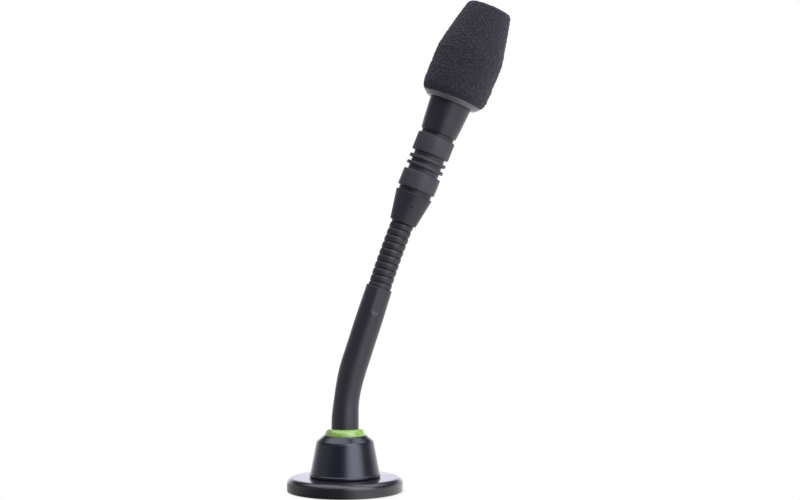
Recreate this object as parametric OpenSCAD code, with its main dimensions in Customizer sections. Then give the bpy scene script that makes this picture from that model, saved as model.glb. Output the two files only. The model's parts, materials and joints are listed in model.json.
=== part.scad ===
// Gooseneck podium microphone: a flanged base with a lit ring, a jacketed stem that flexes near
// its foot, a wound flexible neck, a rubber-isolated head and a slip-on foam windscreen.
// Millimetres. The origin is the centre of the plane the base rests on, +Z is up, and the
// microphone leans towards +X. Parts above the foot are drawn upright and then set on the lean.

/* [Base] */
// Radius of the flange
flange_r = 26.3; // [25:0.1:32]
// Height of the flange's top face, where the hub stands on it
flange_top = 6.6; // [6.2:0.1:6.8]
// How far the gasket stands below the flange's metal
gasket_proud = 0.3; // [0.2:0.1:0.6]
// Radius of the hub at its foot bead
hub_r = 16.2; // [16:0.1:18]
// Height of the hub's top rim
hub_top = 25.5; // [25.5:0.5:30]
// Radius of the hub's top rim
hub_top_r = 9.75; // [9.7:0.05:10]
// Radius of the lit ring at its foot
ring_r = 9.3; // [8.9:0.05:9.3]
// Height of the lit ring above the hub
ring_h = 3; // [2.6:0.1:3.2]

/* [Fixing screws] */
// Diameter of the circle of the three fixing screws under the flange
fixing_pcd = 40; // [38.5:0.5:41]
// Tapping radius of the fixing holes, for M3
fixing_r = 1.25; // [1.25:0.05:1.5]

/* [Stem] */
// Outer radius of the jacketed stem
jacket_r = 6.2; // [6.1:0.05:6.2]
// How much thinner the jacket is drawn around its bend
waist = 0.2; // [0.1:0.05:0.3]
// Wall of the jacket
jacket_wall = 1.2; // [1:0.1:1.2]
// Lean of the stem after its lower bend, in degrees
lower_bend = 18; // [5:1:25]
// Length of the lower bend along its centreline
lower_len = 28.8; // [28.8:0.4:36]
// Length of the straight stem above the lower bend
stem_len = 35.9; // [30:0.5:60]

/* [Wound neck] */
// Crest radius of the wound neck
coil_r = 5.28; // [5.1:0.02:5.3]
// Root radius of the wound neck, between its turns
coil_root_r = 4.75; // [4.6:0.05:4.8]
// Extra lean gained along the wound neck, in degrees
upper_bend = 3.8; // [1:0.2:15]
// Length of the wound neck
upper_len = 31.2; // [31.2:0.4:36]

/* [Head] */
// Radius of the rubber isolator's bands
band_r = 8.75; // [8.6:0.05:9]
// Radius of the isolator at the foot of its grooves
groove_r = 7.15; // [7:0.05:7.4]
// Largest radius of the capsule housing
housing_r = 9.7; // [9.6:0.05:9.75]

/* [Windscreen] */
// Largest radius of the foam
foam_r = 15.25; // [14.75:0.25:18]
// Radius of the foam's rim at its flat top
foam_top_r = 11.1; // [10.5:0.1:12]
// Height of the foam above its collar
foam_h = 44.4; // [42:0.2:50]

/* [Hidden] */
$fn = 64;

fit = 0.05;       // radial gap between fixed parts
ball_gap = 0.08;  // gap between a turn's cup and the dome inside it
cut = 1;          // how far a cutting tool passes a face
lap = 0.3;        // how far a straight stretch runs into the bend that follows it
edge = 0.2;       // small broken edge
cable_r = 1.4;
cable_bore_r = 2.2;

// Base levels
metal_z = gasket_proud;
groove_z = metal_z + 0.7;
boss_r = 2.4;
fixing_depth = 4;
board_z = flange_top + 6.1;
board_t = 1.6;
ledge_z = board_z + board_t;
ceiling_z = ledge_z + 3;
led_floor_z = hub_top - 1.3;
led_board_t = 0.6;
ring_z = led_floor_z + led_board_t + fit;
ring_top = hub_top + ring_h;
cavity_r = 11.4;
ledge_r = 10.5;
socket_r = 7;
socket_flange_r = 7.6;
socket_foot_z = ceiling_z - 1;
plug_r = 5.5;
plug_z = ceiling_z + 1.2;
plug_insert_t = 3.8;
plug_collar_z = ring_top - 0.7;
recess_r = ring_r + 0.1;
hub_screw_at = 13.3;
hub_screw_r = 1;
connector_r = 7;
connector_bore_r = 5.9;
connector_flange_r = 9.6;
connector_z = 0.5;
connector_flange_t = 1.1;
contact_n = 6;
contact_r = 0.45;
contact_at = 2.6;
pin_r = 0.5;
pin_at = 4;
lead_at = 8.05;
lead_r = 0.3;
led_n = 6;
led_at = 7.3;
neck_grub_r = 1;
head_grub_r = 0.7;
grub_z = (plug_z + led_floor_z) / 2;

// Stem and wound neck: the joints are evenly spaced, half a step in from each end
lower_n = 8;
upper_n = 10;
lower_step = lower_len / lower_n;
upper_step = upper_len / upper_n;
link_r = jacket_r - jacket_wall - 0.2;
link_ball = link_r + 0.2;
coil_ball = coil_r + 0.32;
lower_z = ring_top + 1.5;
tube_bore_r = 3.4;
flat_len = 13;
flat_depth = 0.35;
flat_turn = 17;
rib_r = 1.35;

// Head levels, measured along the head's own axis from the foot of the adapter
adapter_h = 13.9;
adapter_foot_r = 6.2;
adapter_top_r = 8.55;
post_r = 4.5;
post_bore_r = post_r + fit;
post_z = 6;
band_z = 16;
band_h = 8;
fin_t = 1.45;
fin_r = band_r - 0.07;
fin_z = [26.35, 29.65];
mount_top = 41.7;
pocket_r = 6;
pocket_t = 1.8;
waist_z = [27, 30.4];
housing_z = mount_top + 1.8;
housing_foot_r = 8.4;
post_socket_h = 6.5;
housing_bore_r = 7;
capsule_board_z = 56;
capsule_board_t = 1.2;
shoulder_z = 62.6;
barrel_r = 9;
barrel_top = 72;
spigot_r = 7.85;
spigot_top = 80;
grille_r = 8.6;
grille_wall = 0.7;
grille_top = 94;
seat_h = 10;
can_r = 5;
can_wall = 0.4;
can_z = spigot_top + 1;
can_h = 8;
collar_z = 58.6;
collar_foot_r = 11.4;
collar_r = 13.4;
collar_h = 1.9;
collar_bore_r = 9.85;
collar_tube_r = 10.6;
collar_tube_top = 68;
foam_z = collar_z + collar_h;
foam_shoulder = foam_z + 4;
foam_taper_z = 81.1;
foam_top = foam_z + foam_h;
foam_round = 3.2;
foam_cavity_r = 9.4;
foam_cavity_top = 97;

// Points along an arc, for the outline of a turned part
function arc(centre, r, from, to, steps = 6) =
    [for (i = [0:steps]) let (a = from + (to - from) * i / steps) centre + r * [cos(a), sin(a)]];

// A quarter of an oval, from its side to its top
function oval_arc(centre, size, steps = 10) =
    [for (i = [0:steps]) let (a = 90 * i / steps) centre + [size[0] * cos(a), size[1] * sin(a)]];

// Where a bend has got to after a length s, as [across, along] from its start
function bend_at(s, bend, len) =
    let (r = len * 180 / (PI * bend), a = bend * s / len) [r * (1 - cos(a)), r * sin(a)];

module tube(r_out, r_in, z, h) {
    translate([0, 0, z])
        difference() {
            cylinder(r = r_out, h = h);
            translate([0, 0, -cut])
                cylinder(r = r_in, h = h + 2 * cut);
        }
}

module rod(r, z, h) {
    translate([0, 0, z])
        cylinder(r = r, h = h);
}

module turned(outline) {
    rotate_extrude()
        polygon(outline);
}

module around(count, r, start = 0) {
    for (i = [0:count - 1])
        rotate([0, 0, start + 360 * i / count])
            translate([r, 0, 0])
                children();
}

// Frames on the leaning centreline
module on_bend(s, bend, len, turn_s) {
    p = bend_at(s, bend, len);
    translate([p[0], 0, p[1]])
        rotate([0, bend * turn_s / len, 0])
            children();
}

module at_lower_bend() {
    translate([0, 0, lower_z])
        children();
}

module at_stem() {
    at_lower_bend()
        on_bend(lower_len, lower_bend, lower_len, lower_len)
            children();
}

module at_upper_bend() {
    at_stem()
        translate([0, 0, stem_len])
            children();
}

module at_head() {
    at_upper_bend()
        on_bend(upper_len, upper_bend, upper_len, upper_len)
            children();
}

// A rod or bore that follows a bend
module bent_rod(r, bend, len) {
    centre_r = len * 180 / (PI * bend);
    translate([centre_r, 0, 0])
        mirror([1, 0, 0])
            rotate([90, 0, 0])
                rotate_extrude(angle = bend, $fn = 128)
                    translate([centre_r, 0])
                        circle(r = r);
}

// --- Base -----------------------------------------------------------------------------------

module flange_plate() {
    rim_w = 3;
    rim_h = 2.2;
    fall = 0.1;
    recess_top = connector_z + connector_flange_t;
    color([0.05, 0.05, 0.06])
        difference() {
            union() {
                difference() {
                    turned(concat(
                        [
                            [connector_r + fit, metal_z],
                            [flange_r - edge, metal_z],
                            [flange_r, metal_z + edge]
                        ],
                        oval_arc([flange_r - rim_w, flange_top - fall - rim_h], [rim_w, rim_h]),
                        [[hub_r, flange_top], [connector_r + fit, flange_top]]
                    ));
                    tube(gasket_out_r() + fit, gasket_in_r() - fit, 0, groove_z);
                }
                around(3, fixing_pcd / 2, 90)
                    rod(boss_r, 0, groove_z + lap);
            }
            rod(connector_flange_r + fit, metal_z - cut, cut + recess_top - metal_z);
            around(3, fixing_pcd / 2, 90)
                rod(fixing_r, -cut, cut + fixing_depth);
            around(3, hub_screw_at, 30) {
                rod(hub_screw_r + 0.1, 0, flange_top + cut);
                rod(2 * hub_screw_r, metal_z - cut, cut + 2.1);
            }
        }
}

function gasket_out_r() = flange_r - 1.5;
function gasket_in_r() = fixing_pcd / 2 - boss_r - 1;

module base_gasket() {
    color([0.1, 0.1, 0.1])
        difference() {
            tube(gasket_out_r(), gasket_in_r(), 0, groove_z);
            around(3, fixing_pcd / 2, 90)
                rod(boss_r + fit, -cut, groove_z + 2 * cut);
        }
}

module hub_housing() {
    bead = 0.9;
    shoulder_z = hub_top - 3.3;
    color([0.06, 0.06, 0.08])
        difference() {
            turned(concat(
                [[cavity_r, flange_top]],
                arc([hub_r - bead, flange_top + bead], bead, -90, 60),
                [
                    [hub_r - 0.55, flange_top + 2.3],
                    [hub_r - 0.8, flange_top + 3.5],
                    [hub_top_r + 3.35, shoulder_z],
                    [hub_top_r + 2.95, shoulder_z + 0.8],
                    [hub_top_r + 0.3, hub_top - 0.4],
                    [hub_top_r, hub_top],
                    [recess_r, hub_top],
                    [recess_r, led_floor_z],
                    [socket_r + fit, led_floor_z],
                    [socket_r + fit, ceiling_z],
                    [ledge_r, ceiling_z],
                    [ledge_r, ledge_z],
                    [cavity_r, ledge_z]
                ]
            ));
            around(3, hub_screw_at, 30)
                rod(hub_screw_r, flange_top - cut, 5.2 + cut);
            around(2, lead_at, 0)
                rod(lead_r + 0.15, ceiling_z - cut, led_floor_z - ceiling_z + 2 * cut);
            translate([0, socket_r - cut, grub_z])
                rotate([-90, 0, 0])
                    cylinder(r = neck_grub_r + 0.2, h = hub_r);
        }
}

// Cap screws seen head down: the head is sunk in the flange and the thread bites in the hub
module hub_screws() {
    head_z = metal_z + 0.1;
    head_h = 2;
    color([0.6, 0.6, 0.62])
        around(3, hub_screw_at, 30)
            difference() {
                union() {
                    rod(2 * hub_screw_r - 0.1, head_z, head_h);
                    rod(hub_screw_r - 0.02, head_z, flange_top + 5 - head_z);
                }
                rod(0.75 * hub_screw_r, head_z - cut, cut + 1, $fn = 6);
            }
}

module output_shell() {
    color([0.55, 0.56, 0.58])
        difference() {
            union() {
                rod(connector_flange_r, connector_z, connector_flange_t);
                rod(connector_r, connector_z, board_z - 1.4 - connector_z);
            }
            rod(connector_bore_r, 0, board_z);
            // keyway that fixes which way round the plug goes in
            translate([-0.6, 0, 0])
                cube([1.2, connector_bore_r + 0.5, 4]);
        }
}

module output_nut() {
    color([0.7, 0.7, 0.72])
        difference() {
            rod(connector_r + 2.6, flange_top, 2, $fn = 6);
            rod(connector_r + fit, flange_top - cut, 2 + 2 * cut);
        }
}

module output_insert() {
    foot = board_z - 5.9;
    color([0.1, 0.1, 0.1])
        difference() {
            rod(connector_bore_r - fit, foot, 4.5);
            around(contact_n, pin_at)
                rod(pin_r + 0.02, foot - cut, 4.5 + 2 * cut);
        }
}

module output_pins() {
    color([0.85, 0.68, 0.3])
        around(contact_n, pin_at)
            rod(pin_r, 2, board_z + board_t + 0.4 - 2);
}

module board_spacer() {
    color([0.2, 0.2, 0.22])
        tube(cavity_r - 0.1, ledge_r - 0.1, flange_top, board_z - flange_top);
}

module preamp_board() {
    color([0.05, 0.3, 0.15])
        difference() {
            rod(cavity_r - 0.1, board_z, board_t);
            around(contact_n, pin_at)
                rod(pin_r + 0.05, board_z - cut, board_t + 2 * cut);
            around(contact_n, contact_at, 30)
                rod(contact_r + 0.05, board_z - cut, board_t + 2 * cut);
            around(2, lead_at, 0)
                rod(lead_r + 0.05, board_z - cut, board_t + 2 * cut);
        }
}

module board_components() {
    color([0.12, 0.12, 0.13])
        for (side = [-1, 1]) {
            around(2, 7.4, side * 30)
                rod(1.2, ledge_z, 1.6);
            translate([-1.5, 6.4 * side - 1, ledge_z])
                cube([3, 2, 1]);
        }
}

module neck_socket() {
    color([0.6, 0.6, 0.62])
        difference() {
            union() {
                rod(socket_r, socket_foot_z, led_floor_z - 0.1 - socket_foot_z);
                rod(socket_flange_r, socket_foot_z, ceiling_z - socket_foot_z);
            }
            rod(plug_r + fit, socket_foot_z - cut, hub_top);
            translate([0, 0, grub_z])
                rotate([-90, 0, 0])
                    cylinder(r = neck_grub_r, h = hub_r);
        }
}

module socket_insert() {
    color([0.12, 0.12, 0.12])
        difference() {
            rod(plug_r, socket_foot_z, plug_z - socket_foot_z);
            around(contact_n, contact_at, 30)
                rod(contact_r + 0.02, socket_foot_z - cut, hub_top);
        }
}

module socket_contacts() {
    color([0.85, 0.68, 0.3])
        around(contact_n, contact_at, 30)
            rod(contact_r, board_z + 0.2, plug_z + 2.6 - board_z - 0.2);
}

module led_board() {
    color([0.05, 0.3, 0.15])
        difference() {
            tube(recess_r - fit, 5.95, led_floor_z, led_board_t);
            around(2, lead_at, 0)
                rod(lead_r + 0.05, led_floor_z - cut, led_board_t + 2 * cut);
        }
}

module led_leads() {
    color([0.75, 0.5, 0.3])
        around(2, lead_at, 0)
            rod(lead_r, board_z + 0.4, led_floor_z + 0.4 - board_z - 0.4);
}

module status_leds() {
    color([0.8, 0.95, 0.6])
        around(led_n, led_at, 30)
            translate([-0.4, -0.4, led_floor_z + led_board_t])
                cube([0.8, 0.8, 0.5]);
}

module light_ring() {
    inner_r = 6.3;
    foot_h = 0.3;
    crown_w = 2.4;
    channel_h = 0.75;
    color([0.5, 0.75, 0.2, 0.8])
        difference() {
            turned(concat(
                [[inner_r, ring_z], [ring_r, ring_z]],
                oval_arc([ring_r - crown_w, hub_top + foot_h], [crown_w, ring_h - foot_h]),
                [[inner_r, ring_top]]
            ));
            tube(ring_r - 0.5, inner_r + 0.3, ring_z - cut, cut + channel_h);
        }
}

module neck_plug() {
    dome_z = lower_z + lower_step / 2;
    color([0.5, 0.5, 0.52])
        difference() {
            union() {
                rod(plug_r, plug_z, plug_collar_z - plug_z);
                intersection() {
                    rod(link_r, plug_collar_z - cut, dome_z + link_ball);
                    translate([0, 0, dome_z])
                        sphere(r = link_ball);
                }
                rod(link_r, plug_collar_z - cut, dome_z - plug_collar_z);
            }
            rod(cable_bore_r, plug_z - cut, dome_z + link_ball);
            rod(plug_r - cut, plug_z - cut, plug_insert_t + cut);
        }
}

module plug_insert() {
    color([0.12, 0.12, 0.12])
        difference() {
            rod(plug_r - cut - fit, plug_z, plug_insert_t);
            around(contact_n, contact_at, 30)
                rod(contact_r + 0.05, plug_z - cut, 2.8 + cut);
        }
}

module neck_grub_screw() {
    color([0.5, 0.5, 0.52])
        translate([0, plug_r + fit, grub_z])
            rotate([-90, 0, 0])
                set_screw(neck_grub_r, 4);
}

// Headless screw along +Z with a hexagon socket in its outer end
module set_screw(r, len) {
    difference() {
        cylinder(r = r - 0.02, h = len);
        translate([0, 0, len - 1])
            cylinder(r = r / 2, h = 1 + cut, $fn = 6);
    }
}

// --- Stem and wound neck --------------------------------------------------------------------

// The smooth jacket's outline, or its bore, from the lit ring to the wound neck
module stem_line(r, bend_r, over = 0) {
    rod(r, plug_collar_z - over, lower_z - plug_collar_z + over + lap);
    at_lower_bend()
        bent_rod(bend_r, lower_bend, lower_len);
    at_stem()
        rod(r, -lap, stem_len + over + lap);
}

module neck_jacket() {
    color([0.09, 0.09, 0.11])
        difference() {
            stem_line(jacket_r, jacket_r - waist);
            stem_line(jacket_r - jacket_wall, jacket_r - jacket_wall - fit, cut);
            at_upper_bend()
                rotate([0, 0, flat_turn])
                    translate([-jacket_r, -2 * jacket_r + flat_depth - jacket_r, -flat_len])
                        cube([2 * jacket_r, 2 * jacket_r, flat_len + cut]);
        }
}

module signal_cable() {
    color([0.2, 0.2, 0.22]) {
        rod(cable_r, plug_z + plug_insert_t, lower_z - plug_z - plug_insert_t + lap);
        at_lower_bend()
            bent_rod(cable_r - fit, lower_bend, lower_len);
        at_stem()
            rod(cable_r, -lap, stem_len + 2 * lap);
        at_upper_bend()
            bent_rod(cable_r - fit, upper_bend, upper_len);
        at_head()
            rod(cable_r, -lap, capsule_board_z + lap);
    }
}

// One turn of a flexible neck, standing on its own joint centre: its cup turns over the dome
// below it, and its own dome is centred on the next joint
module cup_and_dome(step, ball_r) {
    difference() {
        intersection() {
            children();
            translate([0, 0, step])
                sphere(r = ball_r);
        }
        sphere(r = ball_r + ball_gap);
        rod(cable_bore_r, -ball_r, 3 * ball_r);
    }
}

module stem_link(k) {
    color([0.35, 0.35, 0.38])
        at_lower_bend()
            on_bend((k - 0.5) * lower_step, lower_bend, lower_len, k * lower_step)
                cup_and_dome(lower_step, link_ball)
                    rod(link_r, 0, 3 * lower_step);
}

module ribbed_rod(z) {
    rod(coil_root_r, z, 4 * upper_step);
    rotate_extrude()
        translate([coil_r - rib_r, z + 1.35 * upper_step])
            circle(r = rib_r);
}

module coil_turn(k) {
    color([0.12, 0.12, 0.14])
        at_upper_bend()
            on_bend((k - 0.5) * upper_step, upper_bend, upper_len, k * upper_step)
                cup_and_dome(upper_step, coil_ball)
                    ribbed_rod(0);
}

module stem_link_1() { stem_link(1); }
module stem_link_2() { stem_link(2); }
module stem_link_3() { stem_link(3); }
module stem_link_4() { stem_link(4); }
module stem_link_5() { stem_link(5); }
module stem_link_6() { stem_link(6); }
module stem_link_7() { stem_link(7); }

module stem_tube() {
    foot = lower_step / 2;
    color([0.4, 0.4, 0.42])
        at_stem()
            difference() {
                rod(link_r, -foot, stem_len + foot);
                translate([0, 0, -foot])
                    sphere(r = link_ball + ball_gap);
                rod(cable_bore_r, -foot, stem_len);
                rod(tube_bore_r, link_ball, stem_len);
            }
}

// Plugs into the top of the stem tube and carries the first rib and dome of the wound neck
module coil_anchor() {
    centre = upper_step / 2;
    spigot = 6;
    color([0.12, 0.12, 0.14])
        at_upper_bend()
            difference() {
                union() {
                    rod(tube_bore_r - fit, -spigot, spigot + cut);
                    intersection() {
                        union() {
                            rod(coil_root_r, 0, 3 * upper_step);
                            rotate_extrude()
                                translate([coil_r - rib_r, centre + 0.35 * upper_step])
                                    circle(r = rib_r);
                        }
                        translate([0, 0, centre])
                            sphere(r = coil_ball);
                    }
                }
                rod(cable_bore_r, -spigot - cut, spigot + 4 * upper_step);
            }
}

module coil_turn_1() { coil_turn(1); }
module coil_turn_2() { coil_turn(2); }
module coil_turn_3() { coil_turn(3); }
module coil_turn_4() { coil_turn(4); }
module coil_turn_5() { coil_turn(5); }
module coil_turn_6() { coil_turn(6); }
module coil_turn_7() { coil_turn(7); }
module coil_turn_8() { coil_turn(8); }
module coil_turn_9() { coil_turn(9); }

// --- Head -----------------------------------------------------------------------------------

grub_turn = 8.7;
head_grub_z = 7.6;

module head_adapter() {
    color([0.07, 0.07, 0.08])
        at_head()
            difference() {
                turned([
                    [0, 0],
                    [adapter_foot_r - edge, 0],
                    [adapter_foot_r, edge],
                    [adapter_top_r, adapter_h - edge],
                    [adapter_top_r - edge, adapter_h],
                    [0, adapter_h]
                ]);
                translate([0, 0, -upper_step / 2])
                    sphere(r = coil_ball + ball_gap);
                rod(cable_bore_r, 0, adapter_h);
                rod(post_bore_r, post_z, adapter_h);
                rotate([90, 0, grub_turn])
                    translate([0, head_grub_z, 0])
                        cylinder(r = head_grub_r, h = adapter_top_r);
            }
}

module head_grub_screw() {
    color([0.15, 0.15, 0.16])
        at_head()
            rotate([90, 0, grub_turn])
                translate([0, head_grub_z, post_bore_r])
                    set_screw(head_grub_r, 2.4);
}

module adapter_ring() {
    color([0.1, 0.1, 0.11])
        at_head()
            tube(groove_r + 0.5, post_bore_r, adapter_h, band_z - adapter_h);
}

module flanged_post(z, h, flange_z) {
    color([0.5, 0.5, 0.52])
        at_head()
            difference() {
                union() {
                    rod(post_r, z, h);
                    rod(pocket_r, flange_z, pocket_t);
                }
                rod(cable_bore_r, z - cut, h + 2 * cut);
            }
}

module lower_post() { flanged_post(post_z, waist_z[0] - post_z, waist_z[0] - pocket_t); }

module upper_post() {
    flanged_post(waist_z[1], housing_z + post_socket_h - waist_z[1], waist_z[1]);
}

// One rubber moulding: two grip bands, two fins between them, and a web that joins the two
// post flanges inside
module shock_mount() {
    rim = 0.4;
    color([0.22, 0.22, 0.24])
        at_head()
            difference() {
                union() {
                    rod(groove_r, band_z, mount_top - band_z);
                    for (z = [band_z, mount_top - band_h])
                        turned([
                            [0, z],
                            [band_r - rim, z],
                            [band_r, z + rim],
                            [band_r, z + band_h - rim],
                            [band_r - rim, z + band_h],
                            [0, z + band_h]
                        ]);
                    for (z = fin_z)
                        turned([
                            [0, z],
                            [fin_r - rim, z],
                            [fin_r, z + rim],
                            [fin_r, z + fin_t - rim],
                            [fin_r - rim, z + fin_t],
                            [0, z + fin_t]
                        ]);
                }
                rod(cable_bore_r, band_z - cut, mount_top);
                rod(post_bore_r, band_z - cut, waist_z[0] - band_z + cut);
                rod(post_bore_r, waist_z[1], mount_top);
                rod(pocket_r + fit, waist_z[0] - pocket_t, pocket_t);
                rod(pocket_r + fit, waist_z[1], pocket_t);
            }
}

module housing_ring() {
    color([0.1, 0.1, 0.11])
        at_head()
            tube(groove_r + 0.45, post_bore_r, mount_top, housing_z - mount_top);
}

module capsule_housing() {
    knee = 4;
    color([0.07, 0.07, 0.08])
        at_head()
            difference() {
                turned([
                    [0, housing_z],
                    [housing_foot_r - edge, housing_z],
                    [housing_foot_r, housing_z + edge],
                    [housing_foot_r + 0.44, housing_z + knee],
                    [housing_r - 0.36, housing_z + 10.4],
                    [housing_r, collar_z - 0.3],
                    [housing_r, shoulder_z],
                    [barrel_r, shoulder_z],
                    [barrel_r, barrel_top],
                    [spigot_r, barrel_top],
                    [spigot_r, spigot_top],
                    [0, spigot_top]
                ]);
                rod(post_bore_r, housing_z - cut, post_socket_h + cut);
                rod(cable_bore_r, housing_z, capsule_board_z);
                rod(housing_bore_r - 0.5, housing_z + post_socket_h + 2, spigot_top);
                rod(housing_bore_r, capsule_board_z, spigot_top);
            }
}

module capsule_board() {
    color([0.05, 0.3, 0.15])
        at_head() {
            difference() {
                rod(housing_bore_r - fit, capsule_board_z, capsule_board_t);
                around(2, 2.5)
                    rod(lead_r + fit, capsule_board_z - cut, capsule_board_t + 2 * cut);
            }
            // output transistor and its coupling capacitor
            translate([-1.2, 2.8, capsule_board_z + capsule_board_t - 0.01])
                cube([2.4, 1.6, 1.1]);
            rod(1.2, capsule_board_z + capsule_board_t - 0.01, 2);
        }
}

module capsule_leads() {
    color([0.75, 0.5, 0.3])
        at_head()
            around(2, 2.5)
                rod(lead_r, capsule_board_z, can_z - capsule_board_z);
}

module capsule_seat() {
    color([0.15, 0.15, 0.16])
        at_head()
            tube(spigot_r, can_r + fit, spigot_top, seat_h);
}

module capsule_can() {
    color([0.7, 0.7, 0.72])
        at_head()
            difference() {
                rod(can_r, can_z, can_h);
                rod(can_r - can_wall, can_z + 1, can_h - 1 - can_wall);
                around(6, 2.6)
                    rod(0.6, can_z + 2, can_h);
                rod(0.6, can_z + 2, can_h);
            }
}

module capsule_backplate() {
    color([0.8, 0.65, 0.35])
        at_head()
            difference() {
                rod(can_r - can_wall - fit, can_z + 1, can_h - 2.4 - can_wall);
                around(4, 2, 45)
                    rod(0.4, can_z, can_h);
            }
}

module capsule_diaphragm() {
    foot = can_z + can_h - 1.4 - can_wall;
    color([0.85, 0.75, 0.45])
        at_head() {
            tube(can_r - can_wall - fit, can_r - 1.2, foot, 1.4);
            rod(can_r - can_wall - fit, foot + 0.5, 0.1);
        }
}

module head_grille() {
    slot_w = 1.6;
    slot_h = 8;
    hole_r = 0.9;
    color([0.3, 0.3, 0.32])
        at_head()
            difference() {
                rod(grille_r, barrel_top, grille_top - barrel_top);
                rod(grille_r - grille_wall, barrel_top - cut, grille_top - 1 - barrel_top + cut);
                around(8, 0)
                    translate([grille_r - 2, -slot_w / 2, grille_top - 3 - slot_h])
                        cube([4, slot_w, slot_h]);
                rod(hole_r, grille_top - 2, 3);
                around(6, 2.8)
                    rod(hole_r, grille_top - 2, 3);
                around(12, 5.6, 15)
                    rod(hole_r, grille_top - 2, 3);
            }
}

// --- Windscreen -----------------------------------------------------------------------------

module windscreen_collar() {
    lip = 0.3;
    color([0.3, 0.3, 0.31])
        at_head()
            turned([
                [collar_bore_r, collar_z],
                [collar_foot_r, collar_z],
                [collar_r, foam_z - lip],
                [collar_r, foam_z],
                [collar_tube_r, foam_z],
                [collar_tube_r, collar_tube_top],
                [collar_bore_r, collar_tube_top]
            ]);
}

module windscreen_foam() {
    // the side's rounded shoulder into the flat top
    rim = foam_top_r - 0.6;
    color([0.13, 0.13, 0.16])
        at_head()
            turned(concat(
                [
                    [collar_tube_r + fit, foam_z],
                    [collar_r, foam_z],
                    [foam_r - 1.1, foam_z + 1],
                    [foam_r, foam_shoulder],
                    [foam_r, foam_taper_z]
                ],
                arc([rim - foam_round + 0.8, foam_top - foam_round - 0.4], foam_round, 12, 78, 5),
                [
                    [0, foam_top],
                    [0, foam_cavity_top],
                    [foam_cavity_r, foam_cavity_top],
                    [foam_cavity_r, collar_tube_top],
                    [collar_tube_r + fit, collar_tube_top]
                ]
            ));
}

flange_plate();
base_gasket();
hub_housing();
hub_screws();
output_shell();
output_nut();
output_insert();
output_pins();
board_spacer();
preamp_board();
board_components();
neck_socket();
socket_insert();
socket_contacts();
led_board();
led_leads();
status_leds();
light_ring();
neck_plug();
plug_insert();
neck_grub_screw();
neck_jacket();
signal_cable();
stem_link_1();
stem_link_2();
stem_link_3();
stem_link_4();
stem_link_5();
stem_link_6();
stem_link_7();
stem_tube();
coil_anchor();
coil_turn_1();
coil_turn_2();
coil_turn_3();
coil_turn_4();
coil_turn_5();
coil_turn_6();
coil_turn_7();
coil_turn_8();
coil_turn_9();
head_adapter();
head_grub_screw();
adapter_ring();
lower_post();
shock_mount();
upper_post();
housing_ring();
capsule_housing();
capsule_board();
capsule_leads();
capsule_seat();
capsule_can();
capsule_backplate();
capsule_diaphragm();
head_grille();
windscreen_collar();
windscreen_foam();
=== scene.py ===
"""Looks of the gooseneck podium microphone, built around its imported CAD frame. Lengths are in metres."""

import json
import math

import bpy
import numpy as np
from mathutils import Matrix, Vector, noise

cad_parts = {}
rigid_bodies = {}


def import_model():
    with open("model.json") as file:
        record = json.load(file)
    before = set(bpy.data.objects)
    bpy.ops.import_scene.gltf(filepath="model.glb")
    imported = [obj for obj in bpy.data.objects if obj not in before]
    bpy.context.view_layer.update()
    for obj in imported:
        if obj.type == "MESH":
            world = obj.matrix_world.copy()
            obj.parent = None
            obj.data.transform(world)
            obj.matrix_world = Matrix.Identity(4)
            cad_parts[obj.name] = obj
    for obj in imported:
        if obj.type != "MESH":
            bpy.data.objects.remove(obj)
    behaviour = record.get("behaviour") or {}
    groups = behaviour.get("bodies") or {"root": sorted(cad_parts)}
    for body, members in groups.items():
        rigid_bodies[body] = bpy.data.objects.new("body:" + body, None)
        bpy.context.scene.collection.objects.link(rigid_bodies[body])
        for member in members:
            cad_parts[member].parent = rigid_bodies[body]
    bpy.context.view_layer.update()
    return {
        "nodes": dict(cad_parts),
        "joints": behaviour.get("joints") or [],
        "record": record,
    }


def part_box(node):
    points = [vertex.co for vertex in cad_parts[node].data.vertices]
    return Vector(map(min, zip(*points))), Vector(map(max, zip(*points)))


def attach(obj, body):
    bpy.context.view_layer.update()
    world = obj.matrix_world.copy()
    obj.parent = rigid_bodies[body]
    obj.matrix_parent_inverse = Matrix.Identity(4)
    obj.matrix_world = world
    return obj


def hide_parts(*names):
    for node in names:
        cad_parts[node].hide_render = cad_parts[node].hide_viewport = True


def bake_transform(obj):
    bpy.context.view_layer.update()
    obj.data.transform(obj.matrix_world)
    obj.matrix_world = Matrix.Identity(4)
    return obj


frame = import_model()
joints = {j["name"]: j for j in frame["joints"]}
slot_of = {s["node"]: s["material_slot"] for s in frame["record"]["subparts"]}
colour_of = {m["slot"]: m["base_color"] for m in frame["record"]["materials"]}

MM = 0.001


# --- The leaning centreline, read from the joints -------------------------------------------

def lean_of(v):
    """Angle of a direction in the XZ plane, from upright towards +X."""
    return math.atan2(v[0], v[2])


def leaning(lean):
    return Vector((math.sin(lean), 0, math.cos(lean)))


class Bend:
    """An evenly bent stretch whose joints sit half a step in from each end."""

    def __init__(self, prefix):
        self.joints = [j for j in frame["joints"] if j["name"].startswith(prefix)]
        at = [Vector(j["pos_m"]) for j in self.joints]
        chords = [b - a for a, b in zip(at, at[1:])]
        self.step = chords[0].length
        self.turn = (lean_of(chords[-1]) - lean_of(chords[0])) / (len(chords) - 1)
        self.count = len(at)
        self.length = self.step * self.count
        self.lean = lean_of(chords[0]) - self.turn
        self.start = at[0] - leaning(self.lean + self.turn / 4) * self.step / 2
        self.bodies = [self.joints[0]["parent"]] + [j["child"] for j in self.joints]


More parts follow.
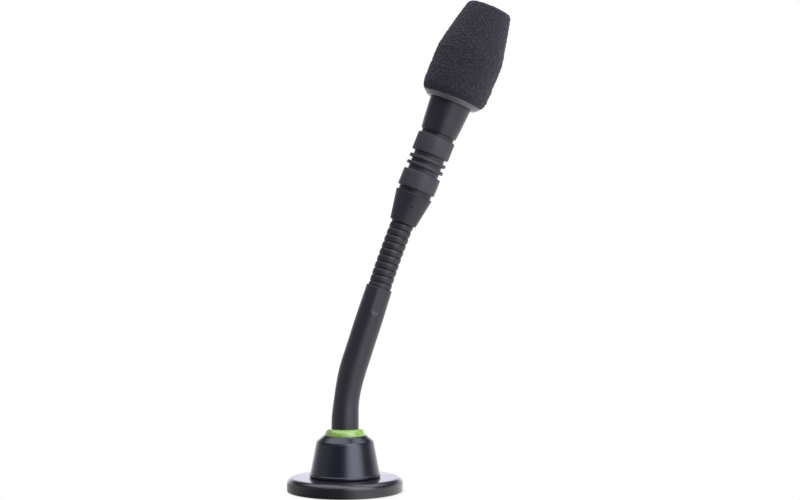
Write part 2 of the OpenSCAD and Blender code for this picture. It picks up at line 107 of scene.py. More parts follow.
class Centreline:
    """Straight and bent stretches, joined end to end. frame_at(s) gives a point and the lean there."""

    def __init__(self, foot, stem, neck, top_length):
        end = self.arc_end(stem)
        straight = (neck.start - end).length
        self.stretches = []
        s = 0.0
        for start, lean, turn, length in (
            (foot, stem.lean, 0, (stem.start - foot).length),
            (stem.start, stem.lean, stem.turn / stem.step, stem.length),
            (end, stem.lean + stem.turn * stem.count, 0, straight),
            (neck.start, neck.lean, neck.turn / neck.step, neck.length),
            (self.arc_end(neck), neck.lean + neck.turn * neck.count, 0, top_length),
        ):
            self.stretches.append((s, start, lean, turn, length))
            s += length
        self.marks = [x[0] for x in self.stretches] + [s]

    @staticmethod
    def along(start, lean, turn, s):
        if abs(turn) < 1e-9:
            return start + leaning(lean) * s
        r = 1 / turn
        return start + Vector((
            r * (math.cos(lean) - math.cos(lean + turn * s)),
            0,
            r * (math.sin(lean + turn * s) - math.sin(lean)),
        ))

    def arc_end(self, bend):
        return self.along(bend.start, bend.lean, bend.turn / bend.step, bend.length)

    def frame_at(self, s):
        for begin, start, lean, turn, length in reversed(self.stretches):
            if s >= begin - 1e-9:
                return self.along(start, lean, turn, s - begin), lean + turn * (s - begin)
        return self.along(*self.stretches[0][1:4], s), self.stretches[0][2]


jacket_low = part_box("neck_jacket")[0]
stem_bend, neck_bend = Bend("stem_"), Bend("neck_")
head_axis = Vector(joints["windscreen_pull"]["axis"]).normalized()
line = Centreline(Vector((0, 0, jacket_low.z)), stem_bend, neck_bend, 120 * MM)
S_BEND, S_STEM, S_NECK, S_HEAD = line.marks[1:5]
head_foot = line.frame_at(S_HEAD)[0]


def reach(node, foot=head_foot, axis=head_axis):
    """(lowest, highest, largest radius) of a CAD node about an axis."""
    low, high, radius = 1e9, -1e9, 0.0
    for v in frame["nodes"][node].data.vertices:
        d = v.co - foot
        t = d.dot(axis)
        low, high = min(low, t), max(high, t)
        radius = max(radius, (d - axis * t).length)
    return low, high, radius


# --- Materials ------------------------------------------------------------------------------

def graph(name):
    """A new material, with its node tree, its shader and the object's own coordinates."""
    mat = bpy.data.materials.new(name)
    mat.use_nodes = True
    tree = mat.node_tree
    shader = tree.nodes["Principled BSDF"]
    coords = tree.nodes.new("ShaderNodeTexCoord")
    return mat, tree, shader, coords.outputs["Object"]


def add(tree, kind, inputs=None, **settings):
    """A new node. Each input is linked if it is given a socket, and set if it is given a value."""
    n = tree.nodes.new(kind)
    for k, v in settings.items():
        setattr(n, k, v)
    for k, v in (inputs or {}).items():
        if isinstance(v, bpy.types.NodeSocket):
            tree.links.new(v, n.inputs[k])
        else:
            n.inputs[k].default_value = v
    return n


def grain(tree, coords, size, detail=3.0):
    """Noise whose features are about size metres across."""
    texture = add(tree, "ShaderNodeTexNoise", {"Vector": coords, "Scale": 1 / size, "Detail": detail})
    return texture.outputs["Fac"]


def spread(tree, value, low, high, start=0.3, stop=0.7):
    """value, stretched from start..stop to low..high."""
    return add(tree, "ShaderNodeMapRange", {
        "Value": value, "From Min": start, "From Max": stop, "To Min": low, "To Max": high,
    }).outputs["Result"]


def tint(tree, value, dark, light):
    mix = add(tree, "ShaderNodeMix", {"Factor": value}, data_type="RGBA")
    mix.inputs["A"].default_value = (*dark, 1)
    mix.inputs["B"].default_value = (*light, 1)
    return mix.outputs["Result"]


def bump(tree, height, depth):
    n = add(tree, "ShaderNodeBump", {"Height": height, "Distance": depth, "Strength": 1.0})
    return n.outputs["Normal"]


def combine(tree, operation, *values):
    """All the values, joined from left to right by one arithmetic operation."""
    total = values[0]
    for v in values[1:]:
        total = add(tree, "ShaderNodeMath", {0: total, 1: v}, operation=operation).outputs["Value"]
    return total


WEAR_PATCH = 9 * MM
WEAR_LIFT = 0.002
COAT_ROUGHNESS = 0.05


def coated(name, colour, rough, swing=0.06, cell=0.6 * MM, depth=0.004 * MM, coat=0.0, wear=0.15, metal=0.0,
           specular=0.5, specular_tint=(1, 1, 1), sheen=0.0):
    """A moulded, enamelled or plated surface: fine grain, patchy gloss and slightly worn tone."""
    mat, tree, shader, coords = graph(name)
    fine = grain(tree, coords, cell)
    broad = grain(tree, coords, WEAR_PATCH, 4.0)
    light = [c * (1 + wear) + WEAR_LIFT * wear for c in colour]
    dark = [c * (1 - wear) for c in colour]
    tree.links.new(tint(tree, broad, dark, light), shader.inputs["Base Color"])
    tree.links.new(spread(tree, broad, rough - swing, rough + swing), shader.inputs["Roughness"])
    tree.links.new(bump(tree, fine, depth), shader.inputs["Normal"])
    shader.inputs["Metallic"].default_value = metal
    shader.inputs["Specular IOR Level"].default_value = specular
    shader.inputs["Specular Tint"].default_value = (*specular_tint, 1)
    shader.inputs["Sheen Weight"].default_value = sheen
    shader.inputs["Coat Weight"].default_value = coat
    shader.inputs["Coat Roughness"].default_value = COAT_ROUGHNESS
    return mat


def foam_material(name, colour, pore=0.6 * MM, strand=0.35 * MM, patch=3 * MM):
    """Open foam: painted shade darkens each pit and painted highlight pales the cut cells between them, with
    a soft bloom at its edges.
    """
    mat, tree, shader, coords = graph(name)
    cells = add(tree, "ShaderNodeTexVoronoi", {"Vector": coords, "Scale": 1 / pore}, feature="SMOOTH_F1")
    fine = grain(tree, coords, strand, 4.0)
    broad = grain(tree, coords, patch, 3.0)
    mixed = combine(tree, "ADD", cells.outputs["Distance"], fine)
    # Painted shade and highlight: the colour is darkened down to 0.3 in each pit and paled up to 1.9 on the
    # cut cells.
    pit_shade_and_cell_highlight = spread(tree, mixed, 0.0, 1.0, 0.5, 1.3)
    dark = [c * 0.3 for c in colour]
    light = [c * 1.9 for c in colour]
    tree.links.new(tint(tree, pit_shade_and_cell_highlight, dark, light), shader.inputs["Base Color"])
    tree.links.new(spread(tree, broad, 0.9, 1.0), shader.inputs["Roughness"])
    tree.links.new(bump(tree, mixed, 0.25 * MM), shader.inputs["Normal"])
    shader.inputs["Specular IOR Level"].default_value = 0.25
    shader.inputs["Sheen Weight"].default_value = 0.16
    shader.inputs["Sheen Roughness"].default_value = 0.5
    shader.inputs["Sheen Tint"].default_value = (0.9, 0.85, 0.95, 1)
    return mat


def ring_material(name, colour, patch=3 * MM, light_depth=1.2 * MM):
    """Translucent moulding, lit a little from inside."""
    mat, tree, shader, coords = graph(name)
    broad = grain(tree, coords, patch, 2.0)
    light = [c * 1.05 for c in colour]
    dark = [c * 0.72 for c in colour]
    tree.links.new(tint(tree, broad, dark, light), shader.inputs["Base Color"])
    tree.links.new(spread(tree, broad, 0.22, 0.34), shader.inputs["Roughness"])
    shader.inputs["Subsurface Weight"].default_value = 0.6
    shader.inputs["Subsurface Radius"].default_value = (0.6, 1.0, 0.2)
    shader.inputs["Subsurface Scale"].default_value = light_depth
    shader.inputs["Emission Color"].default_value = (*colour, 1)
    shader.inputs["Emission Strength"].default_value = 0.05
    shader.inputs["Coat Weight"].default_value = 0.9
    shader.inputs["Coat Roughness"].default_value = 0.2
    return mat


def board_material(name, colour, track_step=4 * MM):
    """Solder mask with copper tracks showing through as lighter lines."""
    mat, tree, shader, coords = graph(name)
    tracks = add(tree, "ShaderNodeTexBrick", {"Vector": coords, "Scale": 1 / track_step, "Mortar Size": 0.08})
    tree.links.new(
        tint(tree, tracks.outputs["Fac"], colour, [c * 2.2 for c in colour]), shader.inputs["Base Color"]
    )
    tree.links.new(spread(tree, grain(tree, coords, 2 * MM), 0.3, 0.45), shader.inputs["Roughness"])
    tree.links.new(bump(tree, tracks.outputs["Fac"], 0.02 * MM), shader.inputs["Normal"])
    return mat


RECIPES = {
    "flange_black": dict(rough=0.22, swing=0.03, cell=1.2 * MM, depth=0.003 * MM, coat=0.35, wear=0.1,
                         specular=0.4, specular_tint=(0.97, 1.0, 0.92)),
    "hub_black": dict(rough=0.24, swing=0.03, cell=1.5 * MM, depth=0.003 * MM, wear=0.1,
                      specular=0.6, specular_tint=(0.86, 0.97, 1.0)),
    "jacket_black": dict(rough=0.44, swing=0.05, cell=0.35 * MM, depth=0.005 * MM, wear=0.15, sheen=0.05),
    "coil_black": dict(rough=0.5, swing=0.06, cell=0.3 * MM, depth=0.004 * MM, wear=0.2),
    "adapter_black": dict(rough=0.52, swing=0.05, cell=0.2 * MM, depth=0.006 * MM, wear=0.15),
    "gap_black": dict(rough=0.5, wear=0.15),
    "grip_rubber": dict(rough=0.52, swing=0.05, cell=0.25 * MM, depth=0.012 * MM, wear=0.15, specular=0.4),
    "gasket_rubber": dict(rough=0.8, cell=0.3 * MM, depth=0.02 * MM),
    "housing_black": dict(rough=0.38, swing=0.05, cell=0.25 * MM, depth=0.005 * MM, wear=0.15),
    "collar_grey": dict(rough=0.4, swing=0.05, cell=0.3 * MM, depth=0.006 * MM, wear=0.1),
    "cable_black": dict(rough=0.6),
    "insulator_black": dict(rough=0.5),
    "component_black": dict(rough=0.45),
    "led_clear": dict(rough=0.15, coat=0.5, wear=0.05),
    "screw_black": dict(rough=0.4, metal=0.8),
    "screw_steel": dict(rough=0.3, metal=1.0, wear=0.1),
    "nickel_metal": dict(rough=0.28, metal=1.0, wear=0.1, cell=0.2 * MM),
    "post_alloy": dict(rough=0.3, metal=1.0, wear=0.1, cell=0.2 * MM),
    "link_steel": dict(rough=0.35, metal=1.0, wear=0.15, cell=0.2 * MM),
    "grille_metal": dict(rough=0.35, metal=1.0, wear=0.15),
    "contact_gold": dict(rough=0.22, metal=1.0, wear=0.08),
    "diaphragm_film": dict(rough=0.15, metal=1.0, wear=0.05),
}
SPECIAL = {"foam_black": foam_material, "ring_green": ring_material, "board_green": board_material}


def make_material(slot):
    colour = colour_of[slot][:3]
    if slot in SPECIAL:
        return SPECIAL[slot](slot, colour)
    return coated(slot, colour, **RECIPES[slot])


materials = {slot: make_material(slot) for slot in colour_of}


# --- Mesh building --------------------------------------------------------------------------

def piece(name, verts, faces, slot, sharp=35):
    """A smooth-shaded mesh object whose edges stay crisp where faces meet at more than sharp degrees."""
    mesh = bpy.data.meshes.new(name)
    mesh.from_pydata([tuple(v) for v in verts], [], faces)
    mesh.validate()
    mesh.shade_smooth()
    mesh.set_sharp_from_angle(angle=math.radians(sharp))
    mesh.materials.append(materials[slot])
    obj = bpy.data.objects.new(name, mesh)
    bpy.context.scene.collection.objects.link(obj)
    return obj


def ring_points(s, radius, around):
    """Points of the section at s. radius is a number, or a function of s and of the angle from +X
    towards +Y."""
    centre, lean = line.frame_at(s)
    out, side = Vector((math.cos(lean), 0, -math.sin(lean))), Vector((0, 1, 0))
    points = []
    for k in range(around):
        a = 2 * math.pi * k / around
        r = radius(s, a) if callable(radius) else radius
        points.append(centre + (out * math.cos(a) + side * math.sin(a)) * r)
    return points


def turned(name, outline, slot, around=96, sharp=35):
    """A solid turned about the centreline. outline is a loop of (s, radius), up the outside and down the
    inside. A radius of 0 closes the solid at its axis, where the loop may be left open."""
    verts, rings = [], []
    for s, radius in outline:
        if radius == 0:
            rings.append([len(verts)])
            verts.append(line.frame_at(s)[0])
        else:
            rings.append(list(range(len(verts), len(verts) + around)))
            verts += ring_points(s, radius, around)
    faces = []
    for low, high in zip(rings, rings[1:] + rings[:1]):
        for k in range(around):
            n = (k + 1) % around
            if len(low) == 1 and len(high) == 1:
                break
            if len(low) == 1:
                faces.append((low[0], high[n], high[k]))
            elif len(high) == 1:
                faces.append((low[k], low[n], high[0]))
            else:
                faces.append((low[k], low[n], high[n], high[k]))
    return piece(name, verts, faces, slot, sharp)


def stations(low, high, count):
    return [low + (high - low) * i / (count - 1) for i in range(count)]


def sleeve(name, low, high, outer, inner, slot, rings, around=72):
    """A closed tube that follows the centreline. With inner 0 it is a solid rod."""
    up = [(s, outer) for s in stations(low, high, rings)]
    if inner == 0:
        return turned(name, [(low, 0)] + up + [(high, 0)], slot, around)
    down = [(s, inner) for s in stations(high, low, rings)]
    return turned(name, up + down, slot, around)


def smooth_curve(knots):
    """A function through (s, value) knots that is level at each of them."""
    def value(s):
        if s <= knots[0][0]:
            return knots[0][1]
        for (a, va), (b, vb) in zip(knots, knots[1:]):
            if s <= b:
                t = (s - a) / (b - a)
                return va + (vb - va) * t * t * (3 - 2 * t)
        return knots[-1][1]
    return value


def arc(centre, radius, start, stop, steps=8):
    """Outline points (s, r) on an arc, with angles in degrees from outward, turning towards the top."""
    points = []
    for i in range(steps + 1):
        a = math.radians(start + (stop - start) * i / steps)
        points.append((centre[0] + radius * math.sin(a), centre[1] + radius * math.cos(a)))
    return points


def up_head(outline):
    """An outline whose heights start at the foot of the head."""
    return [(S_HEAD + t, r) for t, r in outline]


def across_joint(obj):
    """Bakes obj's placement into its mesh, leaving it tied to no body."""
    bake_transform(obj)


def bend_pieces(bend, first_s, build):
    """One piece across each joint of a bend, made by build(number, low, high)."""
    made = []
    for k in range(bend.count):
        low = first_s + k * bend.step
        made.append(build(k + 1, low, low + bend.step))
        across_joint(made[-1])
    return made


# --- Stem jacket ----------------------------------------------------------------------------

JACKET_WALL = 0.7 * MM
JACKET_EDGE = 0.35 * MM
FLAT_LENGTH = 13 * MM
FLAT_DEPTH = 0.32 * MM
FLAT_RUN_OUT = 2.5 * MM
FLAT_TURN = math.radians(-73)
FLAT_SOFTNESS = 0.05 * MM
FLAT_REACH = math.radians(60)
jacket_radius = smooth_curve([  # how far up the jacket each point stands, and the radius there
    (3.4 * MM, 6.2 * MM),
    (14.3 * MM, 5.8 * MM),
    (31 * MM, 6.2 * MM),
    (50 * MM, 6.2 * MM),
    (S_NECK, 6.0 * MM),
])


def jacket_surface(s, a):
    """The jacket's radius, with a pair of soft flats below its top end."""
    r = jacket_radius(s)
    start = S_NECK - FLAT_LENGTH
    if s <= start:
        return r
    t = min(1, (s - start) / FLAT_RUN_OUT)
    flat = r - FLAT_DEPTH * t * t * (3 - 2 * t)
    facing = abs(math.cos(a - FLAT_TURN))
    if facing < math.cos(FLAT_REACH):
        return r
    plane = flat / facing
    return (r + plane - math.hypot(r - plane, FLAT_SOFTNESS) + FLAT_SOFTNESS) / 2


def jacket_bore(s):
    return jacket_radius(s) - JACKET_WALL


def jacket_tube(name, low, high, rings, around=72):
    up = [(s, jacket_surface) for s in stations(low, high, rings)]
    down = [(s, jacket_bore(s)) for s in stations(high, low, rings)]
    return turned(name, up + down, "jacket_black", around)


jacket_foot = jacket_tube("jacket_foot", 0, S_BEND, rings=6)
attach(jacket_foot, "base")
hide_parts("neck_jacket")
bend_pieces(stem_bend, S_BEND, lambda k, low, high: jacket_tube(f"jacket_bend_{k}", low, high, rings=13))
rim = [(S_NECK - JACKET_EDGE + x, jacket_radius(S_NECK) - JACKET_EDGE + y) for x, y in
       arc((0, 0), JACKET_EDGE, 0, 90, steps=4)]
round_rows = stations(S_STEM, S_NECK - FLAT_LENGTH, count=16)[:-1]
flat_rows = stations(S_NECK - FLAT_LENGTH, S_NECK - JACKET_EDGE, count=44)
edge_rows = []
for top_s, top_r in rim[1:]:
    inset = jacket_radius(S_NECK) - top_r
    edge_rows.append((top_s, lambda s, a, inset=inset: jacket_surface(s, a) - inset))
jacket_stem = turned(
    "jacket_stem",
    [(s, jacket_surface) for s in round_rows + flat_rows] + edge_rows
    + [(S_NECK, jacket_bore(S_NECK)), (S_STEM, jacket_bore(S_STEM))],
    "jacket_black", around=144,
)
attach(jacket_stem, "stem")


# --- Wound neck -----------------------------------------------------------------------------

COIL_PITCH = 3.18 * MM
COIL_CREST = 5.3 * MM
COIL_ROOT = 4.6 * MM
COIL_BORE = 3.9 * MM
COIL_ROUNDNESS = 2.8
COIL_TUCK = 1.6 * MM
COIL_AROUND = 96


def coil_surface(s, a):
    """One right-hand winding of round ribs with narrow grooves between them."""
    u = ((s - S_NECK) / COIL_PITCH - a / (2 * math.pi)) % 1.0
    side = abs(2 * u - 1)
    return COIL_ROOT + (COIL_CREST - COIL_ROOT) * math.sqrt(max(0.0, 1 - side ** COIL_ROUNDNESS))


def coil_tube(name, low, high, rings):
    return sleeve(name, low, high, coil_surface, COIL_BORE, "coil_black", rings, COIL_AROUND)


coil_foot = coil_tube("coil_foot", S_NECK - COIL_TUCK, S_NECK, rings=12)
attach(coil_foot, "stem")
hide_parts("coil_anchor")
coil_bends = bend_pieces(
    neck_bend, S_NECK, lambda k, low, high: coil_tube(f"coil_bend_{k}", low, high, rings=25))
for number, obj in enumerate(coil_bends, 1):
    if number < neck_bend.count:
        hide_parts(f"coil_turn_{number}")
coil_tip = coil_tube("coil_tip", S_HEAD, S_HEAD + COIL_TUCK, rings=12)
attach(coil_tip, "adapter")


# --- Rubber isolator ------------------------------------------------------------------------

iso_low, iso_high, iso_radius = reach("shock_mount")
GROOVE_RADIUS = 7.15 * MM
BAND_HEIGHT = 8 * MM
BAND_EDGE = 0.55 * MM
FIN_EDGE = 0.35 * MM
FIN_HEIGHT = 1.45 * MM
FIN_INSET = 0.07 * MM
UPPER_BAND_EXTRA = 0.5 * MM
FIN_LOW = (10.35 * MM, 13.65 * MM)
POST_BORE = 4.6 * MM
POST_FLANGE = 6.1 * MM
FLANGE_POCKET = 1.9 * MM
CABLE_WAY = 2.2 * MM
WEB = 1.7 * MM
MIDDLE_DROP = 0.15 * MM
iso_middle = (iso_low + iso_high) / 2 - MIDDLE_DROP


def disc_edge(low, high, radius, edge):
    """The rounded rim of a band or fin."""
    lower = arc((low + edge, radius - edge), edge, -90, 0, 6)
    upper = arc((high - edge, radius - edge), edge, 0, 90, 6)
    return lower + upper


def lower_isolator():
    fin = iso_low + FIN_LOW[0]
    pocket_top = iso_middle - WEB
    pocket_foot = pocket_top - FLANGE_POCKET
    outline = (
        [(iso_low, POST_BORE)]
        + disc_edge(iso_low, iso_low + BAND_HEIGHT, iso_radius, BAND_EDGE)
        + [(s, GROOVE_RADIUS) for s in stations(iso_low + BAND_HEIGHT, fin, 6)]
        + disc_edge(fin, fin + FIN_HEIGHT, iso_radius - FIN_INSET, FIN_EDGE)
        + [(s, GROOVE_RADIUS) for s in stations(fin + FIN_HEIGHT, iso_middle, 4)]
        + [(iso_middle, CABLE_WAY), (pocket_top, CABLE_WAY)]
        + [(pocket_top, POST_FLANGE), (pocket_foot, POST_FLANGE), (pocket_foot, POST_BORE)]
    )
    return turned("isolator_lower", up_head(outline), "grip_rubber", sharp=50)


def upper_isolator():
    fin = iso_low + FIN_LOW[1]
    pocket_foot = iso_middle + WEB
    pocket_top = pocket_foot + FLANGE_POCKET
    band = iso_high - BAND_HEIGHT - UPPER_BAND_EXTRA
    outline = (
        [(s, GROOVE_RADIUS) for s in stations(iso_middle, fin, 4)]
        + disc_edge(fin, fin + FIN_HEIGHT, iso_radius - FIN_INSET, FIN_EDGE)
        + [(s, GROOVE_RADIUS) for s in stations(fin + FIN_HEIGHT, band, 6)]
        + disc_edge(band, iso_high, iso_radius, BAND_EDGE)
        + [(iso_high, POST_BORE), (pocket_top, POST_BORE), (pocket_top, POST_FLANGE)]
        + [(pocket_foot, POST_FLANGE), (pocket_foot, CABLE_WAY), (iso_middle, CABLE_WAY)]
    )
    return turned("isolator_upper", up_head(outline), "grip_rubber", sharp=50)


ISOLATOR_JOINTS = (("isolator_bend", "adapter", "isolator"), ("isolator_sway", "isolator", "head"))
FLEX_HALF = 2.3 * MM


def across_isolator(obj):
    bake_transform(obj)


for number, obj in enumerate((lower_isolator(), upper_isolator())):
    across_isolator(obj)
    if number == 0:
        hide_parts("shock_mount")


# --- Signal cable ---------------------------------------------------------------------------

CABLE_RADIUS = 1.4 * MM
CABLE_AROUND = 24
cable_low, cable_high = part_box("plug_insert")[1].z - jacket_low.z, S_HEAD + reach("capsule_board")[0]


def cable(name, low, high, rings=2):
    return sleeve(name, low, high, CABLE_RADIUS, 0, "cable_black", rings, CABLE_AROUND)


cable_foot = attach(cable("cable_foot", cable_low, S_BEND), "base")
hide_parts("signal_cable")
bend_pieces(stem_bend, S_BEND, lambda k, low, high: cable(f"cable_stem_{k}", low, high, rings=6))
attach(cable("cable_stem", S_STEM, S_NECK), "stem")
bend_pieces(neck_bend, S_NECK, lambda k, low, high: cable(f"cable_neck_{k}", low, high, rings=6))
flex = [Vector(joints[name]["pos_m"]) for name, _, _ in ISOLATOR_JOINTS]
flex_s = [S_HEAD + (at - head_foot).dot(head_axis) for at in flex]
flex_middle = sum(flex_s) / 2
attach(cable("cable_adapter", S_HEAD, flex_s[0] - FLEX_HALF), "adapter")
across_isolator(cable("cable_isolator_1", flex_s[0] - FLEX_HALF, flex_middle, rings=8))
across_isolator(cable("cable_isolator_2", flex_middle, flex_s[1] + FLEX_HALF, rings=8))
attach(cable("cable_head", flex_s[1] + FLEX_HALF, cable_high), "head")


# --- Foam windscreen ------------------------------------------------------------------------

FOAM_CELL = 0.32 * MM
foam_low, foam_high, foam_radius = reach("windscreen_foam")
collar_top = reach("windscreen_collar")[1]
FOAM_SIDE = [  # how far each point stands above the collar, and inside the largest radius
    (0, 1.85 * MM), (0.8 * MM, 1.15 * MM), (2.2 * MM, 0.5 * MM), (3.7 * MM, 0.15 * MM), (9 * MM, 0),
    (20.6 * MM, 0), (25 * MM, 0.7 * MM), (29.5 * MM, 1.7 * MM), (39.5 * MM, 3.98 * MM),
]
FOAM_RIM = 10.4 * MM
FOAM_ROUND = 1.8 * MM
FOAM_CROWN = 0.3 * MM
FOAM_BORE = 10.65 * MM
FOAM_CAVITY = 9.4 * MM
FOAM_ROOF = 8.3 * MM
FOAM_TOP_CENTRE = 2.5 * MM
FOAM_EASE_ROWS = 4
FOAM_GRAIN = ((3.2 * MM, 0.12), (0.9 * MM, 0.28), (0.5 * MM, 0.22))  # size of each grain and its height in mm
# The loose foam sags off its collar, a little further along the lean and towards the front
FOAM_PIVOT = 7 * MM
FOAM_SAG = Vector((math.tan(math.radians(1.3)), -math.tan(math.radians(2.6)), 0))


def resample(outline, spacing):
    """The same outline with points no more than spacing apart."""
    points = [outline[0]]
    for (a, ra), (b, rb) in zip(outline, outline[1:]):
        count = max(1, math.ceil(math.hypot(b - a, rb - ra) / spacing))
        points += [(a + (b - a) * i / count, ra + (rb - ra) * i / count) for i in range(1, count + 1)]
    return points


def foam_noise(p):
    """How far the foam's skin stands out at a point, from broad swells down to cut cells."""
    return sum(noise.noise(p / size) * height for size, height in FOAM_GRAIN) * MM


def foam_outline():
    """Up the outside as one finely divided list, and down the inside."""
    rounded = arc((foam_high - FOAM_ROUND - FOAM_CROWN, FOAM_RIM - FOAM_ROUND), FOAM_ROUND, 15, 84, 6)
    side = [(foam_low + t, foam_radius - inset) for t, inset in FOAM_SIDE]
    outer = resample(side + rounded + [(foam_high, FOAM_TOP_CENTRE)], FOAM_CELL)
    roof = foam_high - FOAM_ROOF
    inner = [(foam_high, 0), (roof, 0), (roof, FOAM_CAVITY), (collar_top, FOAM_CAVITY),
             (collar_top, FOAM_BORE), (foam_low, FOAM_BORE)]
    return outer, inner


def foam():
    outer, inner = foam_outline()
    around = int(2 * math.pi * foam_radius / FOAM_CELL)
    obj = turned("foam", up_head(outer + inner), "foam_black", around, sharp=180)
    mesh = obj.data
    skin = len(outer) * around
    normals = np.array([v.vector for v in mesh.vertex_normals[:skin + 1]])
    co = np.array([v.co for v in mesh.vertices[:skin + 1]])
    push = np.array([foam_noise(Vector(p)) for p in co])
    ease = np.clip(np.arange(len(outer)) / FOAM_EASE_ROWS, 0, 1).repeat(around)
    ease = np.append(ease, 0)
    height = (co - np.array(head_foot)) @ np.array(head_axis) - foam_low
    above = np.maximum(height - FOAM_PIVOT, 0)
    sag = above ** 2 / (above + FOAM_PIVOT)
    moved = co + normals * (push * ease)[:, None] + sag[:, None] * np.array(FOAM_SAG)
    for v, place in zip(mesh.vertices, moved):
        v.co = place
    mesh.update()
    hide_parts("windscreen_foam")
    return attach(obj, "windscreen")


foam()


# --- CAD pieces whose shape is right --------------------------------------------------------

for node, obj in frame["nodes"].items():
    obj.data.materials.clear()
    obj.data.materials.append(materials[slot_of[node]])


# --- Studio ---------------------------------------------------------------------------------

# Angles are in degrees around the object from the camera, and heights run from 0 level to 1 overhead
KEY_LIGHT = 3.5
BACK_LIGHT = 1.2
TOP_LIGHT = 2.0
FILL_LIGHT = 0.065
KEY_NEAR_SIDE = (-4, 24)
KEY_FAR_SIDE = 48
KEY_FADE = 32
FLOOR_FAR_SIDE = 100
LEFT_GLOWS = ((-25, -80, 0.0, 0.35), (-110, -170, 0.0, 0.95))
RIGHT_GLOWS = ((94, 140, 0.0, 1.0), (140, 170, 0.0, 0.3))
KEY_TOP = (0.9, 0.7)
BACK_TOP = (0.45, 0.2)
TOP_FOOT = (0.62, 0.85)
LIGHT_COLOUR = (0.99, 0.95, 1.12, 1)
FLOOR_KEY = 1.1
FLOOR_CONTACT = 0.72
FLOOR_HALF = 6.0
CONTACT_REACH = 9 * MM
CONTACT_CLEAR = 0.85
FIBRE_SIZE = 0.8 * MM
FIBRE_TONE = 0.01
CAMERA_AT = (24.95 * MM, -704 * MM, 109.5 * MM)
LENS = 69.75
SENSOR = 36
BOX_AT = (0.1, -0.25, 0.95)
BOX_AIM = (0.02, 0, 0.1)
BOX_SIZE = 0.6
BOX_POWER = 1.0


def ramp(tree, value, start, stop, low=0.0, high=1.0):
    """A smooth step from low to high as value goes from start to stop, which may run downwards."""
    return add(tree, "ShaderNodeMapRange", {
        "Value": value, "From Min": start, "From Max": stop, "To Min": low, "To Max": high,
    }, interpolation_type="SMOOTHSTEP").outputs["Result"]


def around_object(tree, split):
    """Degrees around the object from the camera's side, positive to the right."""
    toward = combine(tree, "MULTIPLY", split.outputs["Y"], -1.0)
    turn = combine(tree, "ARCTAN2", split.outputs["X"], toward)
    return combine(tree, "MULTIPLY", turn, 180 / math.pi)


def key_light(tree, azimuth, far_side):
    """The light at the front right, fading out beyond far_side."""
    rise = ramp(tree, azimuth, *KEY_NEAR_SIDE)
    fall = ramp(tree, azimuth, far_side + KEY_FADE, far_side)
    return combine(tree, "MULTIPLY", rise, fall)


def back_light(tree, azimuth):
    """The light behind the object, as smooth steps that add up towards the back on each side."""
    left, right = (
        combine(tree, "ADD", *(ramp(tree, azimuth, *glow) for glow in glows))
        for glows in (LEFT_GLOWS, RIGHT_GLOWS)
    )
    return combine(tree, "ADD", left, right)


def studio():
    """White behind the object, a tall soft light at its front right, one above it, and little else."""
    world = bpy.data.worlds.new("studio")
    bpy.context.scene.world = world
    world.use_nodes = True
    tree = world.node_tree
    back = tree.nodes["Background"]
    direction = add(tree, "ShaderNodeTexCoord").outputs["Generated"]
    split = add(tree, "ShaderNodeSeparateXYZ", {"Vector": direction})
    azimuth = around_object(tree, split)
    height = split.outputs["Z"]
    key = combine(
        tree, "MULTIPLY", key_light(tree, azimuth, KEY_FAR_SIDE), ramp(tree, height, *KEY_TOP), KEY_LIGHT)
    behind = combine(
        tree, "MULTIPLY", back_light(tree, azimuth), ramp(tree, height, *BACK_TOP), BACK_LIGHT)
    above = combine(tree, "MULTIPLY", ramp(tree, height, *TOP_FOOT), TOP_LIGHT)
    tree.links.new(combine(tree, "ADD", key, behind, above, FILL_LIGHT), back.inputs["Strength"])
    back.inputs["Color"].default_value = LIGHT_COLOUR
    white = add(tree, "ShaderNodeBackground", {"Color": (1, 1, 1, 1), "Strength": 1.0})
    path = add(tree, "ShaderNodeLightPath")
    mix = add(tree, "ShaderNodeMixShader", {0: path.outputs["Is Camera Ray"]})
    tree.links.new(back.outputs["Background"], mix.inputs[1])
    tree.links.new(white.outputs["Background"], mix.inputs[2])
    tree.links.new(mix.outputs["Shader"], tree.nodes["World Output"].inputs["Surface"])


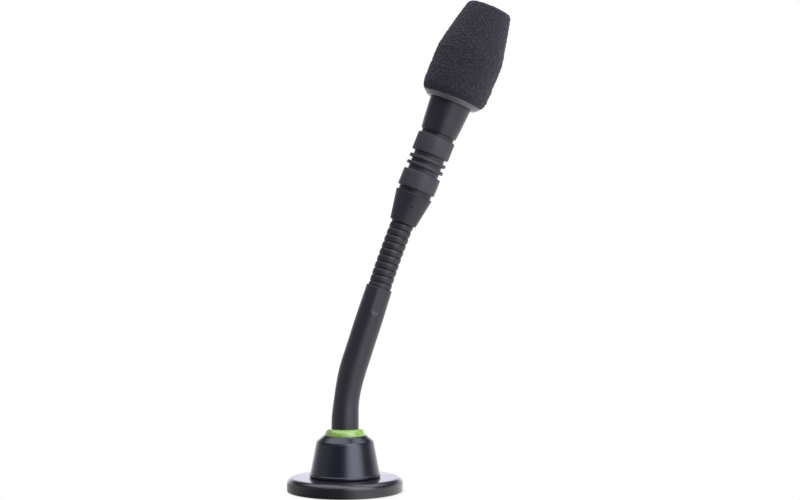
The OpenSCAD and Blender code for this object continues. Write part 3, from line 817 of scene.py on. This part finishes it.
def softbox():
    """A soft light above the object, a little to its front."""
    data = bpy.data.lights.new("top", "AREA")
    data.shape = "SQUARE"
    data.size = BOX_SIZE
    data.energy = BOX_POWER
    obj = bpy.data.objects.new("top", data)
    obj.location = BOX_AT
    obj.rotation_euler = (Vector(BOX_AIM) - Vector(BOX_AT)).to_track_quat("-Z", "Y").to_euler()
    bpy.context.scene.collection.objects.link(obj)


def floor():
    """White paper to the camera, with a faint contact shadow. Reflections see it lit by the same lights."""
    corners = [(x * FLOOR_HALF, y * FLOOR_HALF, 0) for x, y in ((-1, -1), (1, -1), (1, 1), (-1, 1))]
    mesh = bpy.data.meshes.new("floor")
    mesh.from_pydata(corners, [], [(0, 1, 2, 3)])
    mat, tree, shader, coords = graph("floor")
    split = add(tree, "ShaderNodeSeparateXYZ", {"Vector": coords})
    azimuth = around_object(tree, split)
    key = combine(tree, "MULTIPLY", key_light(tree, azimuth, FLOOR_FAR_SIDE), FLOOR_KEY)
    behind = combine(tree, "MULTIPLY", back_light(tree, azimuth), BACK_LIGHT)
    seen = combine(tree, "ADD", key, behind, FILL_LIGHT)
    nearby = add(tree, "ShaderNodeAmbientOcclusion", {"Distance": CONTACT_REACH}, samples=8)
    fibre = combine(tree, "MULTIPLY", grain(tree, coords, FIBRE_SIZE), FIBRE_TONE)
    shade = ramp(tree, nearby.outputs["AO"], 0.0, CONTACT_CLEAR, FLOOR_CONTACT, 1.0)
    paper = combine(tree, "ADD", shade, fibre)
    path = add(tree, "ShaderNodeLightPath")
    bright = add(tree, "ShaderNodeMix", {"Factor": path.outputs["Is Camera Ray"], "A": seen, "B": paper})
    shader.inputs["Base Color"].default_value = (0, 0, 0, 1)
    shader.inputs["Specular IOR Level"].default_value = 0
    shader.inputs["Emission Color"].default_value = (1, 1, 1, 1)
    tree.links.new(bright.outputs["Result"], shader.inputs["Emission Strength"])
    mesh.materials.append(mat)
    obj = bpy.data.objects.new("floor", mesh)
    bpy.context.scene.collection.objects.link(obj)


def camera():
    data = bpy.data.cameras.new("camera")
    data.lens = LENS
    data.sensor_width = SENSOR
    obj = bpy.data.objects.new("camera", data)
    obj.location = CAMERA_AT
    obj.rotation_euler = (math.pi / 2, 0, 0)
    bpy.context.scene.collection.objects.link(obj)
    bpy.context.scene.camera = obj


studio()
floor()
softbox()
camera()
bpy.context.scene.view_settings.view_transform = "Standard"
